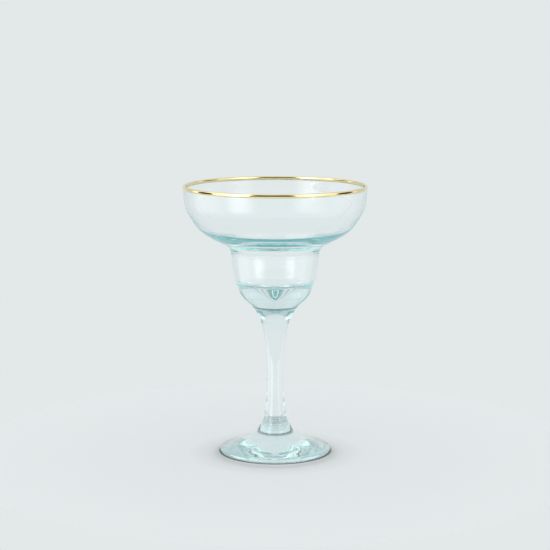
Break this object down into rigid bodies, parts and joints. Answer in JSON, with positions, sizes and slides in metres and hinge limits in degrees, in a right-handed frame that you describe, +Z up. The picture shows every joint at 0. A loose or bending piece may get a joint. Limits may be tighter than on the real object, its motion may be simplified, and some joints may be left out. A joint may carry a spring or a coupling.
{
  "type": "margarita glass",
  "caption": "Stemmed cocktail glass with a wide saucer over a narrow well, pale blue-green glass, a flared stem, a round foot and a gilded lip",
  "frame": {"origin": "centre of the plane that the foot rests on", "axes": "+Z up along the axis of the stem, X and Y across the foot and free to turn about Z"},
  "size_m": [0.1163, 0.1162, 0.1711],
  "materials": {
    "tinted_glass": "clear, polished",
    "gold_film": "fired bright gold"
  },
  "bodies": {
    "root": {"bowl": "tinted_glass", "stem": "tinted_glass", "foot": "tinted_glass", "rim_gilding": "gold_film"}
  },
  "joints": []
}
